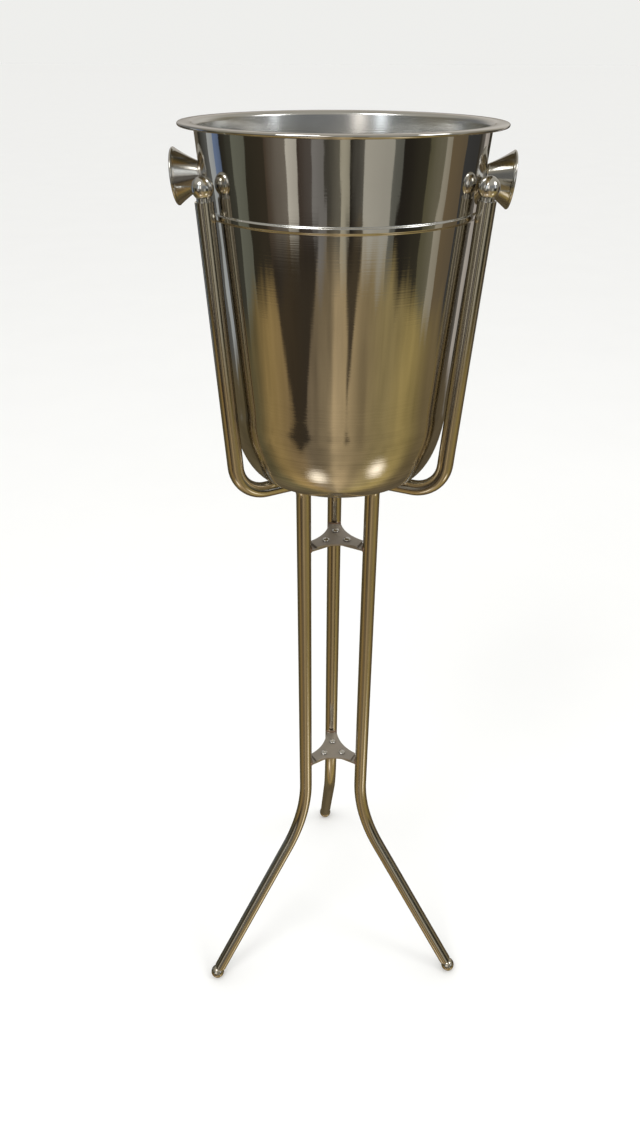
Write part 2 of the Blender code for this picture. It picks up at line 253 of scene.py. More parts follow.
def piece(name, mesh, material, body, node, place):
    """Adds a piece, puts it in place, gives its mesh the material if it has none, and ties it to its CAD
    body and, if any, its node.
    """
    obj = bpy.data.objects.new(name, mesh)
    bpy.context.scene.collection.objects.link(obj)
    obj.matrix_world = place
    if not mesh.materials:
        mesh.materials.append(material)
    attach(obj, body)
    if node:
        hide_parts(node)


def carve(mesh, cutters, sharp):
    """Returns the mesh with the cutters, (mesh, place) pairs, taken out of it by an exact boolean."""
    work = bpy.data.objects.new("work", mesh)
    helpers = [work]
    for cutter_mesh, place in cutters:
        cutter = bpy.data.objects.new("cutter", cutter_mesh)
        cutter.matrix_world = place
        modifier = work.modifiers.new("cut", "BOOLEAN")
        modifier.object = cutter
        modifier.solver = "EXACT"
        helpers.append(cutter)
    for helper in helpers:
        bpy.context.scene.collection.objects.link(helper)
    bpy.context.view_layer.update()
    cut = work.evaluated_get(bpy.context.evaluated_depsgraph_get())
    result = bpy.data.meshes.new_from_object(cut)
    for helper in helpers:
        bpy.data.objects.remove(helper)
    result.shade_smooth()
    result.set_sharp_from_angle(angle=math.radians(sharp))
    return result


def cut_round_holes(mesh, centres, radius, low, high):
    """Returns the mesh with round holes along Z."""
    profile = [(0.0, low), (radius, low), (radius, high), (0.0, high)]
    drill = to_mesh(lathe(profile, 32), "drill")
    return carve(mesh, [(drill, Matrix.Translation((x, y, 0.0))) for x, y in centres], 40)


# ======== node graphs ========

class Graph:
    """A short way to write a node tree: add(kind, {input: value or socket}, property=value)."""

    def __init__(self, tree):
        self.tree = tree
        tree.nodes.clear()

    def add(self, kind, inputs=None, **properties):
        node = self.tree.nodes.new("ShaderNode" + kind)
        for key, value in properties.items():
            setattr(node, key, value)
        for key, value in (inputs or {}).items():
            if isinstance(value, bpy.types.NodeSocket):
                self.tree.links.new(value, node.inputs[key])
            else:
                node.inputs[key].default_value = value
        return node

    def math(self, operation, a, b=0.0, c=0.0):
        return self.add("Math", {0: a, 1: b, 2: c}, operation=operation).outputs[0]

    def noise(self, vector, scale, detail=3.0, rough=0.55):
        inputs = {"Vector": vector, "Scale": scale, "Detail": detail, "Roughness": rough}
        return self.add("TexNoise", inputs).outputs[0]

    def lines(self, run, scale, detail=2.0):
        """Noise along one coordinate only: turning or drawing lines."""
        inputs = {"W": run, "Scale": scale, "Detail": detail, "Roughness": 0.7}
        return self.add("TexNoise", inputs, noise_dimensions="1D").outputs[0]

    def span(self, value, low, high, to_low, to_high):
        inputs = {"Value": value, "From Min": low, "From Max": high, "To Min": to_low, "To Max": to_high}
        return self.add("MapRange", inputs).outputs[0]

    def mix(self, factor, a, b):
        return self.add("Mix", {0: factor, 6: a, 7: b}, data_type="RGBA").outputs[2]

    def scaled(self, color, factor):
        return self.add("VectorMath", {0: color, "Scale": factor}, operation="SCALE").outputs[0]

    def ramp(self, factor, stops, interpolation="LINEAR"):
        node = self.add("ValToRGB", {"Fac": factor})
        ramp = node.color_ramp
        ramp.interpolation = interpolation
        while len(ramp.elements) < len(stops):
            ramp.elements.new(0.5)
        for element, (position, color) in zip(ramp.elements, stops):
            element.position = position
            element.color = (*color, 1.0)
        return node.outputs[0]

    def finish(self, shader, kind="OutputMaterial"):
        """Links the shader to the tree's output."""
        self.tree.links.new(shader.outputs[0], self.add(kind).inputs["Surface"])


# ======== steel ========

# Noise scales are in cells per metre.
DRIFT_SCALE = 30.0
SMUDGE_SCALE = 55.0
OXIDE_SCALE = 260.0
RING_SCALE = 420.0
SCRATCH_SCALES = (60.0, 2600.0, 900.0)
SCRATCH_TURN = 0.6
BUMP_DISTANCE = 0.001
OXIDE_COLORS = [
    (0.0, (1.0, 1.0, 1.0)), (0.25, (0.88, 0.74, 0.50)), (0.5, (0.52, 0.34, 0.22)),
    (0.72, (0.26, 0.22, 0.30)), (1.0, (0.16, 0.12, 0.11)),
]


def scratch_grain(g, place):
    """Fine lines one way across a sheet."""
    inputs = {"Vector": place, "Rotation": (0.0, 0.0, SCRATCH_TURN), "Scale": SCRATCH_SCALES}
    return g.noise(g.add("Mapping", inputs).outputs[0], 1.0, 4.0, 0.65)


def heat_tint(g, place, shade, gloss):
    """Straw, brown and blue oxide where the vertex layer "heat" says that a weld was near."""
    heat = g.add("Attribute", attribute_name="heat").outputs["Fac"]
    uneven = g.math("MULTIPLY_ADD", g.noise(place, OXIDE_SCALE, 3.0), 0.5, 0.75)
    hot = g.math("MULTIPLY", heat, uneven)
    inputs = {0: 1.0, 6: shade, 7: g.ramp(hot, OXIDE_COLORS)}
    toned = g.add("Mix", inputs, data_type="RGBA", blend_type="MULTIPLY").outputs[2]
    return toned, g.math("MULTIPLY_ADD", hot, 0.25, gloss)


def spinning_rings(g, place, run, heights, shade, gloss, bump):
    """Rings left by spinning the sheet: full below the first height, gone above the second."""
    level = g.add("SeparateXYZ", {0: place}).outputs[2]
    amount = g.span(level, heights[0], heights[1], 1.0, 0.0)
    ring = g.math("MULTIPLY", g.math("SUBTRACT", g.lines(run, RING_SCALE, 5.0), 0.5), amount)
    gloss = g.math("MULTIPLY_ADD", amount, 0.05, g.math("MULTIPLY_ADD", ring, 0.20, gloss))
    bump = g.math("MULTIPLY_ADD", ring, 0.06, bump)
    shade = g.scaled(shade, g.math("MULTIPLY_ADD", ring, 0.6, 1.0))
    return shade, gloss, bump


def steel(name, color, roughness, smudge=0.05, lines=0.0, line_scale=2500.0, waves=0.0, wave_scale=14.0,
          scratches=0.0, tint=False, anisotropic=0.0, rings=None):
    """Bare steel: faint colour drift, smudged gloss, tool lines along the vertex layer "run", slow
    waviness of the sheet, fine scratches, heat tint at the welds, and spinning rings."""
    material = bpy.data.materials.new(name)
    material.use_nodes = True
    g = Graph(material.node_tree)
    place = g.add("TexCoord").outputs["Object"]
    run = g.add("Attribute", attribute_name="run").outputs["Fac"]
    darker = (*[part * 0.92 for part in color], 1.0)
    lighter = (*[part * 1.05 for part in color], 1.0)
    shade = g.mix(g.noise(place, DRIFT_SCALE), darker, lighter)
    gloss = g.span(g.noise(place, SMUDGE_SCALE, 5.0), 0.35, 0.75, roughness, roughness + smudge)
    tool_lines = g.lines(run, line_scale)
    gloss = g.math("MULTIPLY_ADD", tool_lines, smudge * 0.6, gloss)
    bump = g.math("MULTIPLY", tool_lines, lines)
    if waves:
        bump = g.math("MULTIPLY_ADD", g.noise(place, wave_scale, 1.0), waves, bump)
    if scratches:
        grain = scratch_grain(g, place)
        bump = g.math("MULTIPLY_ADD", grain, scratches, bump)
        gloss = g.math("MULTIPLY_ADD", grain, 0.12, gloss)
    if tint:
        shade, gloss = heat_tint(g, place, shade, gloss)
    if rings:
        shade, gloss, bump = spinning_rings(g, place, run, rings, shade, gloss, bump)
    normal = g.add("Bump", {"Height": bump, "Strength": 1.0, "Distance": BUMP_DISTANCE}).outputs[0]
    shader = g.add("BsdfPrincipled", {"Base Color": shade, "Metallic": 1.0, "Roughness": gloss,
                                      "Anisotropic": anisotropic, "Normal": normal})
    if anisotropic:
        tangent = g.add("Tangent", direction_type="RADIAL", axis="Z")
        material.node_tree.links.new(tangent.outputs[0], shader.inputs["Tangent"])
    g.finish(shader)
    return material


def make_materials():
    """Every material by name. Each takes its name, colour, roughness and how far the gloss varies."""
    materials = [
        steel("bucket_outside", (0.70, 0.68, 0.64), 0.02, 0.04, lines=0.006, line_scale=900.0,
              waves=0.10, wave_scale=16.0, rings=(0.60, 0.67)),
        steel("bucket_inside", (0.68, 0.68, 0.66), 0.12, 0.05, lines=0.012, line_scale=1500.0,
              waves=0.03, anisotropic=0.6),
        # The tube's olive warmth is a painted reflection of the warm room it mirrors; the steel itself is
        # neutral.
        steel("tube", (0.62, 0.575, 0.480), 0.10, 0.08, lines=0.003, line_scale=900.0,
              waves=0.02, wave_scale=60.0, tint=True),
        steel("turned", (0.70, 0.69, 0.66), 0.08, 0.06, lines=0.008, line_scale=2600.0),
        steel("plate", (0.50, 0.46, 0.42), 0.30, 0.10, scratches=0.05, tint=True),
        steel("fastener", (0.72, 0.71, 0.69), 0.14, 0.08, lines=0.01, line_scale=3200.0),
        steel("weld", (0.40, 0.27, 0.20), 0.34, 0.20, lines=0.08, line_scale=1500.0, tint=True),
    ]
    return {material.name: material for material in materials}


# ======== bucket ========

def wall_radius(height):
    """Outside radius of the bucket's wall at a height, with the rolled bead."""
    radius = WALL_TOP_RADIUS - WALL_SLOPE * (RIM_HEIGHT - height)
    away = abs(height - (RIM_HEIGHT - BEAD_DROP))
    return radius + BEAD_PROUD * smooth_step((BEAD_HALF_HEIGHT - away) / BEAD_EDGE)


def wall_heights(top):
    """Heights down the wall, close together over the bead."""
    above = RIM_HEIGHT - BEAD_DROP + BEAD_WINDOW
    below = RIM_HEIGHT - BEAD_DROP - BEAD_WINDOW
    return evenly(top, above, 8) + evenly(above, below, 24)[1:] + evenly(below, KNUCKLE_TOP, 16)[1:-1]


def shell_profile():
    """The spun sheet as a closed section: up the inside, over the hemmed flange and down the outside."""
    inner_bend = FLANGE_BEND + SHEET
    bend_height = RIM_HEIGHT - inner_bend
    bend_circle = wall_radius(bend_height) + FLANGE_BEND
    knuckle = WALL_FOOT_RADIUS - BASE_RADIUS
    wall = wall_heights(bend_height)
    inside = [(0.0, BASE_HEIGHT + SHEET)]
    inside += arc(BASE_RADIUS, KNUCKLE_TOP, knuckle - SHEET, KNUCKLE_HEIGHT - SHEET, -90, 0, 24)
    inside += [(wall_radius(height) - SHEET, height) for height in reversed(wall)]
    inside += arc(bend_circle, bend_height, inner_bend, inner_bend, 180, 90, 8)[1:]
    hem = RIM_RADIUS - HEM_RADIUS
    edge = arc(hem, RIM_HEIGHT - HEM_RADIUS, HEM_RADIUS, HEM_RADIUS, 90, -90, 12)
    edge += [(hem - HEM_TUCK, RIM_HEIGHT - 1.8 * HEM_RADIUS), (hem - HEM_END, RIM_HEIGHT - SHEET)]
    outside = arc(bend_circle, bend_height, FLANGE_BEND, FLANGE_BEND, 90, 180, 8)
    outside += [(wall_radius(height), height) for height in wall[1:]]
    outside += arc(BASE_RADIUS, KNUCKLE_TOP, knuckle, KNUCKLE_HEIGHT, 0, -90, 24)
    return inside + edge + outside + [(0.0, BASE_HEIGHT)]


def shell_mesh(materials):
    """The bucket, satin on the inner faces of its wall and bottom and bright everywhere else."""
    mesh = to_mesh(lathe(shell_profile(), BUCKET_SEGMENTS), "bucket_shell", 60)
    mesh.materials.append(materials["bucket_outside"])
    mesh.materials.append(materials["bucket_inside"])
    for face in mesh.polygons:
        below_flange = face.center.z < RIM_HEIGHT - FLANGE_SKIN
        within_wall = math.hypot(*face.center.xy) < WALL_TOP_RADIUS
        inward = face.normal.x * face.center.x + face.normal.y * face.center.y < 0
        upward = face.normal.z > 0.05
        satin = below_flange and within_wall and (inward or upward)
        face.material_index = 1 if satin else 0
    return mesh


def knob_profile():
    """A flared knob: neck against the wall at height 0, rolled lip and dished face at the far end."""
    bore = SCREW_RADIUS + GAP
    collar = KNOB_NECK_RADIUS + KNOB_COLLAR
    points = [(0.0, KNOB_BORE_DEPTH), (bore, KNOB_BORE_DEPTH), (bore, 0.0), (KNOB_NECK_RADIUS, 0.0)]
    points += [(collar, 0.0003), (collar, 0.0010)]
    flare_width = KNOB_LIP_RADIUS - KNOB_EDGE - KNOB_NECK_RADIUS
    for t in evenly(0.0, 1.0, 24)[2:-1]:
        flare = 0.75 * t + 0.25 * t * t
        points.append((KNOB_NECK_RADIUS + flare_width * flare, (KNOB_LENGTH - KNOB_LIP) * t))
    lip = KNOB_LIP / 2
    points += arc(KNOB_LIP_RADIUS - lip, KNOB_LENGTH - lip, lip, lip, -75, 120, 12)
    dish_radius = KNOB_LIP_RADIUS - 2.2 * lip
    dish_top = KNOB_LENGTH - KNOB_EDGE
    for t in evenly(0.0, 1.0, 16)[:-1]:
        points.append((dish_radius * (1 - t), dish_top - (KNOB_DISH - KNOB_EDGE) * smooth_step(t * 1.2)))
    points.append((0.0, KNOB_LENGTH - KNOB_DISH))
    return points


def screw_profile():
    """A pan-head screw along +Z, with its head's underside at height 0."""
    points = [(0.0, SCREW_LENGTH), (SCREW_RADIUS * 0.7, SCREW_LENGTH)]
    points += [(SCREW_RADIUS, SCREW_LENGTH - SCREW_TIP), (SCREW_RADIUS, 0.0), (SCREW_HEAD_RADIUS, 0.0)]
    dome = SCREW_HEAD_HEIGHT - SCREW_HEAD_EDGE
    points += arc(0.0, -SCREW_HEAD_EDGE, SCREW_HEAD_RADIUS, dome, 0, -90, 12)[:-1]
    return points + [(0.0, -SCREW_HEAD_HEIGHT)]


def screw_mesh():
    """The screw with a cross recess in its head."""
    bm = bmesh.new()
    bmesh.ops.create_cube(bm, size=1.0)
    bmesh.ops.scale(bm, vec=(RECESS_LENGTH, RECESS_WIDTH, 2 * RECESS_DEPTH), verts=bm.verts)
    bar = to_mesh(bm, "bar")
    top = Matrix.Translation((0.0, 0.0, -SCREW_HEAD_HEIGHT))
    bars = [(bar, top @ Matrix.Rotation(turn, 4, "Z")) for turn in (0.0, math.pi / 2)]
    return carve(to_mesh(lathe(screw_profile(), 48), "knob_screw"), bars, 35)


def build_bucket(materials):
    """The shell, and the knobs and their screws on its two sides."""
    turned = Matrix.Translation(AXIS) @ Matrix.Rotation(BUCKET_TURN, 4, "Z")
    upright = Matrix.Translation(AXIS)
    piece("bucket_shell_spun", shell_mesh(materials), None, "bucket",
          "bucket_shell", upright)
    knob = to_mesh(lathe(knob_profile(), 96), "knob", 50)
    screw = screw_mesh()
    height = RIM_HEIGHT - KNOB_DROP
    radius = WALL_TOP_RADIUS - WALL_SLOPE * KNOB_DROP
    tilt = math.atan(WALL_SLOPE)
    for side, sign in (("right", 1.0), ("left", -1.0)):
        outward = Vector((sign * math.cos(tilt), 0.0, -math.sin(tilt)))
        seat = Vector((sign * radius, 0.0, height))
        turn = Matrix.Rotation(sign * (math.pi / 2 + tilt), 4, "Y")
        at_wall = turned @ Matrix.Translation(seat + outward * GAP) @ turn
        inside = turned @ Matrix.Translation(seat - outward * (SHEET + SCREW_STANDOFF)) @ turn
        piece(f"knob_turned_{side}", knob, materials["turned"], "bucket",
              f"knob_{side}", at_wall)
        piece(f"screw_{side}", screw, materials["fastener"], "bucket",
              f"knob_screw_{side}", inside)


# ======== legs ========

def round_corner(before, corner, after, radius, steps):
    """Points of the arc that rounds a corner between two straight runs."""
    back = (before - corner).normalized()
    ahead = (after - corner).normalized()
    turn = math.pi - back.angle(ahead)
    centre = corner + (back + ahead).normalized() * (radius / math.cos(turn / 2))
    tangent = radius * math.tan(turn / 2)
    first = corner + back * tangent - centre
    last = corner + ahead * tangent - centre
    points = []
    for i in range(steps + 1):
        t = i / steps
        between = first * math.sin((1 - t) * turn) + last * math.sin(t * turn)
        points.append(centre + between / math.sin(turn))
    return points


def straight_run(start, end, count):
    """Points between start and end, so that a straight stretch has vertices to carry the heat tint."""
    return [(start.lerp(end, i / (count + 1)), 0.0) for i in range(1, count + 1)]


def arm_circle(height):
    """How far the middle of a leaning arm is from the stand's axis."""
    return ARM_FOOT_CIRCLE + ARM_LEAN * (height - CRADLE_HEIGHT)


def leg_path():
    """The tube's centre line in the leg's own plane, and how much each point belongs to a tight bend."""
    ball = Vector((arm_circle(BALL_HEIGHT), BALL_HEIGHT))
    rise = CRADLE_HEIGHT + CRADLE_RISE
    outer = Vector((arm_circle(rise), rise))
    inner = Vector((LEG_CIRCLE, CRADLE_HEIGHT - CRADLE_DIP))
    knee = Vector((LEG_CIRCLE, KNEE_HEIGHT))
    foot = Vector((FOOT_CIRCLE, FOOT_CENTRE_HEIGHT))
    top = ball + (outer - ball).normalized() * BALL_NECK
    bottom = foot + (knee - foot).normalized() * FOOT_NECK
    corners = [bottom, knee, inner, outer, top]
    bends = [  # radius, steps and how far the tube is squeezed
        (KNEE_BEND, 14, 0.25),
        (CRADLE_INNER_BEND, 16, 1.0),
        (CRADLE_OUTER_BEND, 20, 0.8),
    ]
    path = [(corners[0], 0.0)]
    for i, (radius, steps, squeeze) in enumerate(bends, start=1):
        bend = round_corner(corners[i - 1], corners[i], corners[i + 1], radius, steps)
        path += straight_run(path[-1][0], bend[0], 6)
        path += [(point, squeeze * math.sin(math.pi * k / steps)) for k, point in enumerate(bend)]
    path += straight_run(path[-1][0], corners[-1], 8)
    path.append((corners[-1], 0.0))
    return [(Vector((point.x - RIVET_CIRCLE, point.y)), squeeze) for point, squeeze in path]


def heat_at(point):
    """How strongly the nearest lug's weld has tinted the steel at a point of the leg."""
    nearest = 1.0
    for top in PLATE_TOPS.values():
        height = top - PLATE_THICKNESS - GAP - LUG_THICKNESS / 2
        weld = Vector((LEG_OFFSET - TUBE_RADIUS, 0.0, height))
        nearest = min(nearest, (point - weld).length)
    return HEAT_PEAK * math.exp(-((nearest / HEAT_REACH) ** 2))


def add_heat(mesh):
    """Writes the heat tint of a leg's mesh to its vertex layer "heat"."""
    layer = mesh.attributes.new("heat", "FLOAT", "POINT")
    layer.data.foreach_set("value", [min(heat_at(v.co), 1.0) for v in mesh.vertices])
    return mesh


def densify(path):
    """Adds points to the upright where the lugs are welded on, so that the tint's edge is fine."""
    steps = range(-HEAT_RINGS_EACH_WAY, HEAT_RINGS_EACH_WAY + 1)
    heights = [top - PLATE_THICKNESS + k * HEAT_RING_STEP for top in PLATE_TOPS.values() for k in steps]
    dense = []
    for (start, squeeze), (end, _) in zip(path, path[1:]):
        dense.append((start, squeeze))
        if abs(start.x - end.x) < 1e-6:
            between = sorted(height for height in heights if start.y < height < end.y)
            dense += [(Vector((start.x, height)), 0.0) for height in between]
    return dense + [path[-1]]


def tube_rings(bm, layer, path, radius):
    """Rings of one surface of the tube, flattened a little across its tight bends."""
    rings = []
    run = 0.0
    for i, (point, squeeze) in enumerate(path):
        before = path[max(i - 1, 0)][0]
        after = path[min(i + 1, len(path) - 1)][0]
        along = (after - before).normalized()
        side = Vector((along.y, -along.x))
        run += (point - before).length
        ring = []
        for k in range(TUBE_SIDES):
            angle = 2 * math.pi * k / TUBE_SIDES
            offset = side * (radius * (1 - BEND_FLATTENING * squeeze) * math.cos(angle))
            across = radius * (1 + BEND_BULGE * squeeze) * math.sin(angle)
            ring.append(bm.verts.new((point.x + offset.x, across, point.y + offset.y)))
            ring[-1][layer] = run
        rings.append(ring)
    return rings


def tube_mesh():
    """One leg's tube with its bore, in the leg's own plane, from the foot to the ball."""
    bm = bmesh.new()
    layer = bm.verts.layers.float.new("run")
    path = densify(leg_path())
    outer = tube_rings(bm, layer, path, TUBE_RADIUS)
    inner = tube_rings(bm, layer, path, BORE_RADIUS)
    for rings in (outer, inner):
        for ring_a, ring_b in zip(rings, rings[1:]):
            skin(bm, ring_a, ring_b)
    skin(bm, outer[0], inner[0])
    skin(bm, outer[-1], inner[-1])
    return add_heat(to_mesh(bm, "leg_tube"))


def plug_ball(radius, neck):
    """A ball centred on the origin, with a stem down -Z that plugs a tube whose end is at -neck."""
    stem = BORE_RADIUS - GAP
    seam = -math.degrees(math.acos(stem / radius))
    end = -neck - PLUG_LENGTH
    points = [(0.0, end), (stem - PLUG_CHAMFER, end), (stem, end + PLUG_CHAMFER), (stem, -neck * 0.93)]
    points += arc(0.0, 0.0, radius, radius, seam, 90, 40)[:-1]
    points.append((0.0, radius))
    return lathe(points, 64)


def foot_mesh(azimuth):
    """A foot: a plug ball tilted along the splayed tube, worn flat where it stands on the floor."""
    bm = plug_ball(FOOT_RADIUS, FOOT_NECK)
    bmesh.ops.rotate(bm, verts=bm.verts, cent=(0, 0, 0), matrix=Matrix.Rotation(math.pi - SPLAY, 3, "Y"))
    bmesh.ops.translate(bm, verts=bm.verts, vec=(FOOT_CIRCLE - RIVET_CIRCLE, 0.0, FOOT_CENTRE_HEIGHT))
    everything = bm.verts[:] + bm.edges[:] + bm.faces[:]
    down = (0, 0, -1)
    cut = bmesh.ops.bisect_plane(bm, geom=everything, plane_co=(0, 0, 0), plane_no=down, clear_outer=True)
    rim = [edge for edge in cut["geom_cut"] if isinstance(edge, bmesh.types.BMEdge)]
    bmesh.ops.edgeloop_fill(bm, edges=rim)
    bmesh.ops.rotate(bm, verts=bm.verts, cent=(0, 0, 0), matrix=Matrix.Rotation(azimuth, 3, "Z"))
    return to_mesh(bm, "foot", 30)


def lug_outline():
    """A tongue round the rivet, coped at its other end to fit the tube."""
    cope = TUBE_RADIUS + GAP
    reach = math.degrees(math.asin(LUG_HALF_WIDTH / cope))
    outline = arc(0.0, 0.0, LUG_HALF_WIDTH, LUG_HALF_WIDTH, 90, 270, 28)
    return outline + arc(LEG_OFFSET, 0.0, cope, cope, 180 + reach, 180 - reach, 14)


def lug_mesh(top):
    """One lug with its rivet hole, in the leg's own plane."""
    slab = to_mesh(rounded_slab(lug_outline(), top - LUG_THICKNESS, LUG_THICKNESS), "lug")
    return add_heat(cut_round_holes(slab, [(0.0, 0.0)], RIVET_RADIUS + GAP, top - 0.01, top + 0.01))


def weld_route(top):
    """Once round the lug's end, as angles round the tube and heights."""
    reach = math.asin(LUG_HALF_WIDTH / (TUBE_RADIUS + GAP)) * 0.96
    start = math.pi + reach
    end = math.pi - reach
    bottom = top - LUG_THICKNESS
    middle = top - LUG_THICKNESS / 2
    above = [(angle, top) for angle in evenly(start, end, WELD_STEPS)]
    below = [(angle, bottom) for angle in evenly(end, start, WELD_STEPS)]
    return above + [(end, middle)] + below + [(start, middle)]


def weld_mesh(top):
    """A rippled bead that runs round the lug's end, where it meets the tube."""
    bm = bmesh.new()
    layer = bm.verts.layers.float.new("run")
    seat = TUBE_RADIUS + WELD_STANDOFF
    route = weld_route(top)
    outwards = [Vector((math.cos(angle), math.sin(angle), 0.0)) for angle, _ in route]
    middles = [Vector((LEG_OFFSET, 0.0, height)) for _, height in route]
    points = [middle + outward * seat for middle, outward in zip(middles, outwards)]
    rings = []
    for i, (point, outward) in enumerate(zip(points, outwards)):
        along = (points[(i + 1) % len(points)] - points[i - 1]).normalized()
        sideways = along.cross(outward).normalized()
        size = WELD_RADIUS * (1.0 + 0.16 * math.sin(i * 1.9) + 0.10 * math.sin(i * 0.53 + 1.0))
        ring = []
        for k in range(WELD_SIDES):
            angle = 2 * math.pi * k / WELD_SIDES
            offset = (outward * math.cos(angle) + sideways * math.sin(angle)) * size
            ring.append(bm.verts.new(point + offset))
            ring[-1][layer] = i * 0.0003
        rings.append(ring)
    for ring_a, ring_b in zip(rings, rings[1:] + rings[:1]):
        skin(bm, ring_a, ring_b)
    return add_heat(to_mesh(bm, "weld", 60))


def build_legs(materials):
    """Three legs from the same meshes. Only the feet, which hold the object's width, are made turned,
    because the box of a turned object is too wide."""
    tube = tube_mesh()
    ball = to_mesh(plug_ball(BALL_RADIUS, BALL_NECK), "ball")
    tops = {level: top - PLATE_THICKNESS - GAP for level, top in PLATE_TOPS.items()}
    lugs = {level: lug_mesh(top) for level, top in tops.items()}
    welds = {level: weld_mesh(top) for level, top in tops.items()}
    ball_place = Matrix.Translation((arm_circle(BALL_HEIGHT) - RIVET_CIRCLE, 0.0, BALL_HEIGHT))
    ball_place = ball_place @ Matrix.Rotation(math.atan(ARM_LEAN), 4, "Y")
    for leg in LEGS:
        body = f"leg_{leg}"
        pivot = RIVET_AXES[body]
        azimuth = math.atan2(pivot.y - AXIS.y, pivot.x - AXIS.x)
        place = Matrix.Translation(pivot) @ Matrix.Rotation(azimuth, 4, "Z")
        piece(f"tube_{leg}", tube, materials["tube"], body,
              f"leg_tube_{leg}", place)
        piece(f"ball_end_{leg}", ball, materials["turned"], body,
              f"ball_{leg}", place @ ball_place)
        # The feet share the tube's steel, whose olive warmth is a painted reflection of the warm room.
        piece(f"foot_end_{leg}", foot_mesh(azimuth), materials["tube"], body,
              f"foot_{leg}", Matrix.Translation(pivot))
        for level in PLATE_TOPS:
            piece(f"tongue_{level}_{leg}", lugs[level], materials["plate"], body,
                  f"lug_{level}_{leg}", place)
            piece(f"weld_{level}_{leg}", welds[level], materials["weld"], body,
                  None, place)


# ======== hub ========

def plate_outline(azimuths):
    """Three straight-ended arms joined by concave sides."""
    half = PLATE_ARM_WIDTH / 2
    corner = Vector((PLATE_ARM_LENGTH, half))  # of an arm's end
    across = math.radians(60) - math.atan2(half, PLATE_ARM_LENGTH)
    excess = corner.length * math.cos(across) - PLATE_WAIST
    centre = (corner.length_squared - PLATE_WAIST ** 2) / (2 * excess)
    radius = centre - PLATE_WAIST
    sweep = math.degrees(math.asin(corner.length * math.sin(across) / radius))
    outline = []
    for azimuth in azimuths:
        middle = math.degrees(azimuth) + 60
        x = centre * math.cos(math.radians(middle))
        y = centre * math.sin(math.radians(middle))
        outline += arc(x, y, radius, radius, middle + 180 + sweep, middle + 180 - sweep, 24)
    return outline


def plate_heat(mesh):
    """Tints the ends of the plate's arms, next to the welds."""
    layer = mesh.attributes.new("heat", "FLOAT", "POINT")
    reaches = [math.hypot(vertex.co.x, vertex.co.y) for vertex in mesh.vertices]
    values = [PLATE_HEAT * smooth_step((reach - PLATE_HEAT_START) / PLATE_HEAT_FADE) for reach in reaches]
    layer.data.foreach_set("value", values)
    return mesh


def rivet_profile():
    """Domed head, shank and closed tail, measured from the plate's top face."""
    tail = -(PLATE_THICKNESS + LUG_THICKNESS + 2 * GAP)
    head_dome = RIVET_HEAD_HEIGHT - RIVET_HEAD_EDGE
    tail_dome = RIVET_TAIL_HEIGHT - RIVET_CHAMFER
    points = [(0.0, GAP + RIVET_HEAD_HEIGHT)]
    points += arc(0.0, GAP + RIVET_HEAD_EDGE, RIVET_HEAD_RADIUS, head_dome, 90, 0, 14)[1:]
    points += [(RIVET_HEAD_RADIUS - RIVET_CHAMFER, GAP), (RIVET_RADIUS, GAP), (RIVET_RADIUS, tail)]
    points.append((RIVET_TAIL_RADIUS - RIVET_CHAMFER, tail))
    points += arc(0.0, tail - RIVET_CHAMFER, RIVET_TAIL_RADIUS, tail_dome, 0, -90, 10)[:-1]
    return points + [(0.0, tail - RIVET_TAIL_HEIGHT)]


def build_hub(materials):
    """The two plates, each with its three rivets."""
    spots = [RIVET_AXES[f"leg_{leg}"] - AXIS for leg in LEGS]
    azimuths = [math.atan2(spot.y, spot.x) for spot in spots]
    outline = plate_outline(sorted(azimuths))
    plain = to_mesh(rounded_slab(outline, -PLATE_THICKNESS, PLATE_THICKNESS), "plate")
    holes = [(spot.x, spot.y) for spot in spots]
    plate = plate_heat(cut_round_holes(plain, holes, RIVET_RADIUS + GAP, -0.01, 0.01))
    rivet = to_mesh(lathe(rivet_profile(), 48), "rivet", 50)
    for level, top in PLATE_TOPS.items():
        place = Matrix.Translation(AXIS + Vector((0.0, 0.0, top)))
        piece(f"plate_{level}", plate, materials["plate"], "hub", f"{level}_plate", place)
        for leg, spot in zip(LEGS, spots):
            piece(f"rivet_head_{level}_{leg}", rivet, materials["fastener"], "hub",
                  f"rivet_{level}_{leg}", place @ Matrix.Translation(spot))


# ======== stage ========

# What the bright steel reflects, as degrees round from the front (+ to the right) and their colours:
# upright bands at eye level, the tones of the floor below them, and the lamps above.
BANDS = [
    (-180, (0.14, 0.12, 0.09)), (-150, (0.03, 0.026, 0.018)), (-128, (0.42, 0.44, 0.44)),
    (-120, (0.16, 0.22, 0.36)), (-112, (0.025, 0.022, 0.016)), (-98, (0.16, 0.165, 0.13)),
    (-84, (0.035, 0.03, 0.02)), (-66, (0.075, 0.055, 0.038)), (-47, (0.60, 0.57, 0.50)),
    (-38, (0.06, 0.045, 0.035)), (-27, (0.23, 0.22, 0.21)), (-16, (0.06, 0.055, 0.045)),
    (-5, (0.44, 0.41, 0.32)), (2, (0.016, 0.013, 0.009)), (13, (0.46, 0.44, 0.38)),
    (34, (0.15, 0.15, 0.13)), (42, (0.022, 0.019, 0.015)), (66, (0.11, 0.10, 0.06)),
    (80, (0.36, 0.33, 0.26)), (87, (0.16, 0.12, 0.07)), (104, (0.05, 0.05, 0.05)),
    (124, (0.03, 0.026, 0.018)), (134, (0.46, 0.42, 0.38)), (146, (0.03, 0.026, 0.018)),
    (164, (0.14, 0.12, 0.09)),
]
